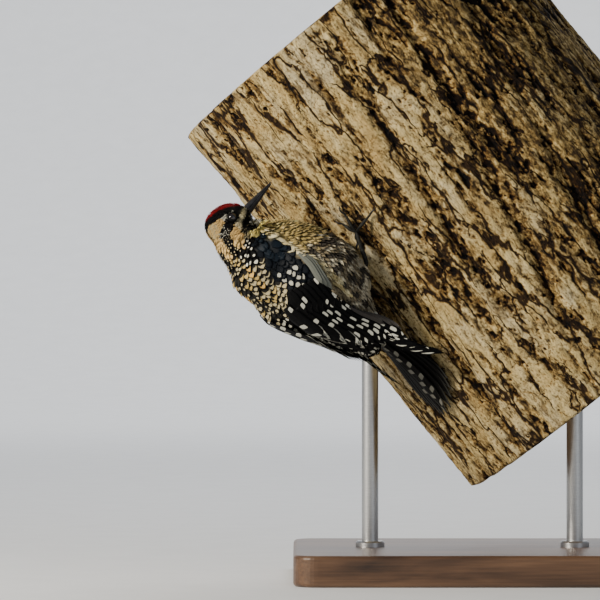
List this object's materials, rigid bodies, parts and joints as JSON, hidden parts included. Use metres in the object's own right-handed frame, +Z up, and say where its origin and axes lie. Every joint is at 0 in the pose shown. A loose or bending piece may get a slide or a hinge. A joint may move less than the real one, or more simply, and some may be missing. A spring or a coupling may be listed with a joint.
{
  "type": "woodpecker",
  "caption": "Life-size sapsucker with red crown, spotted wings and stiff barred tail, clinging to a short leaning tree trunk held on rods above a flat board",
  "frame": {"origin": "middle of the underside of the stand's board, on the floor", "axes": "+Z up; the trunk leans in the XZ plane, its upper end towards -X; the bird is seen from the -Y side, at the trunk's lower left"},
  "size_m": [0.3347, 0.2301, 0.3949],
  "materials": {
    "body_plumage": "soft mottled olive, buff and black feathers",
    "head_plumage": "soft feathers, red crown with black and cream stripes",
    "wing_coverts": "black feathers with a white patch and spots",
    "flight_feathers": "black feathers spotted and edged with white",
    "tail_feathers": "stiff black feathers, the middle pair barred white",
    "scaly_leg": "fine dark greenish-grey scales",
    "claw": "dark horn",
    "bill": "slate horn, satin",
    "eye": "dark brown, wet",
    "bark": "rough tan bark with dark fissures, pale cut ends",
    "stand_wood": "dark oiled wood",
    "stand_rod": "satin"
  },
  "bodies": {
    "root": {"torso": "body_plumage", "neck": "body_plumage", "head": "head_plumage", "thigh_right": "body_plumage", "wing_right_coverts": "wing_coverts", "wing_right_secondaries": "flight_feathers", "wing_right_primaries": "flight_feathers", "shank_right": "scaly_leg", "toe_right_inner": "scaly_leg", "claw_right_inner": "claw", "toe_right_middle": "scaly_leg", "claw_right_middle": "claw", "toe_right_outer": "scaly_leg", "claw_right_outer": "claw", "toe_right_hind": "scaly_leg", "claw_right_hind": "claw", "tail_right_1": "tail_feathers", "tail_right_2": "tail_feathers", "tail_right_3": "tail_feathers", "tail_right_4": "tail_feathers", "tail_right_5": "tail_feathers", "eye_right": "eye", "thigh_left": "body_plumage", "wing_left_coverts": "wing_coverts", "wing_left_secondaries": "flight_feathers", "wing_left_primaries": "flight_feathers", "shank_left": "scaly_leg", "toe_left_inner": "scaly_leg", "claw_left_inner": "claw", "toe_left_middle": "scaly_leg", "claw_left_middle": "claw", "toe_left_outer": "scaly_leg", "claw_left_outer": "claw", "toe_left_hind": "scaly_leg", "claw_left_hind": "claw", "tail_left_1": "tail_feathers", "tail_left_2": "tail_feathers", "tail_left_3": "tail_feathers", "tail_left_4": "tail_feathers", "tail_left_5": "tail_feathers", "eye_left": "eye", "bill_upper": "bill", "bill_lower": "bill", "perch_trunk": "bark", "stand_board": "stand_wood", "stand_rod_1": "stand_rod", "stand_rod_2": "stand_rod"}
  },
  "joints": []
}
